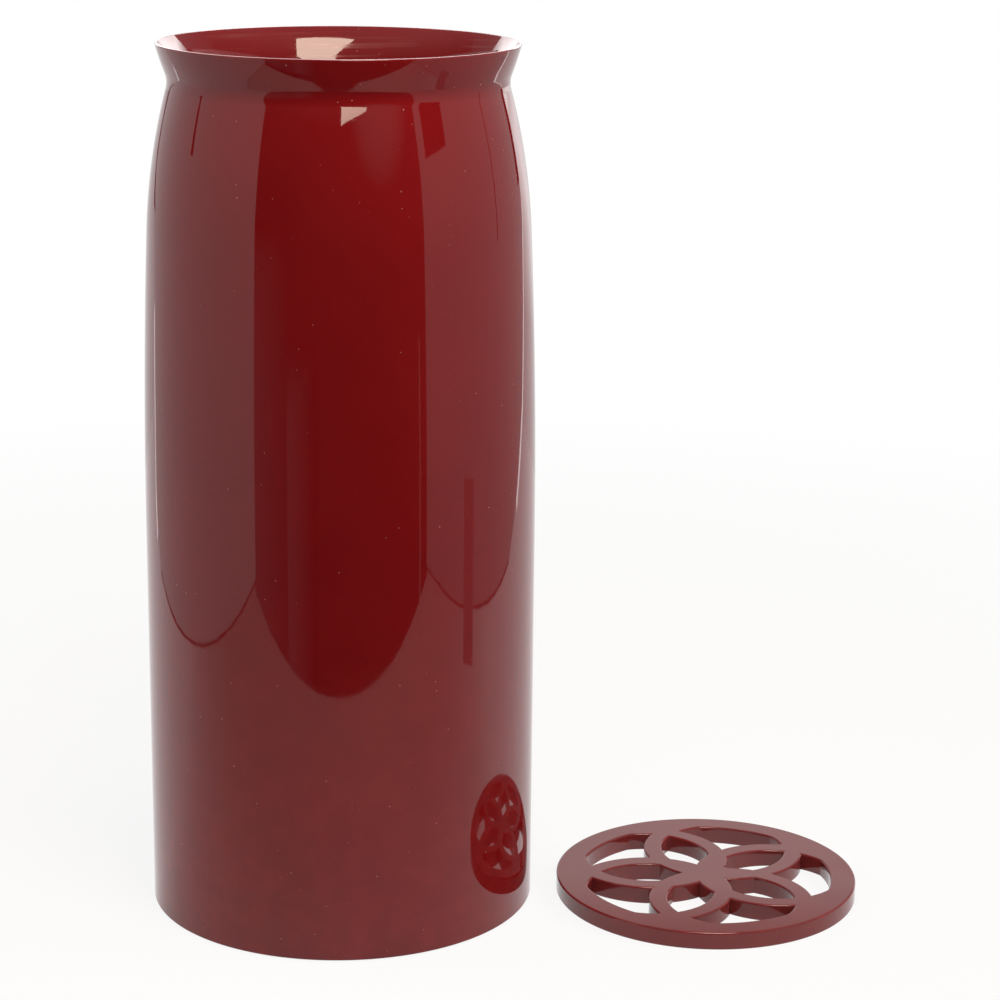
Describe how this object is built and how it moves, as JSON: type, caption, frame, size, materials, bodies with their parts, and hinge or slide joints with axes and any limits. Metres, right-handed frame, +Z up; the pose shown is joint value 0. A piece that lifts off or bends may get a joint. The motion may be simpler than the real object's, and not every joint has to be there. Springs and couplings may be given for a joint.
{
  "type": "upright drawing tube",
  "caption": "Tall open lacquered stand with a soft shoulder and a flared mouth, for rolled drawings, and a loose pierced disc that drops onto a ledge inside the mouth.",
  "frame": {"origin": "middle of the underside of the felt, on the table", "axes": "+Z up along the axis of the vessel, +X from the vessel towards the disc that lies on the table"},
  "size_m": [0.4175, 0.224, 0.5],
  "materials": {
    "red_lacquer": "polished dark red lacquer on wood",
    "felt": "short dense felt"
  },
  "bodies": {
    "vessel": {"base_felt": "felt", "bottom_board": "red_lacquer", "body_wall": "red_lacquer", "seat_ring": "red_lacquer", "mouth_ring": "red_lacquer"},
    "grille": {"grille_disc": "red_lacquer"}
  },
  "joints": [
    {"name": "grille_lift", "type": "slide", "parent": "vessel", "child": "grille", "axis": [0, 0, 1], "range_m": [0, 0.52]}
  ]
}
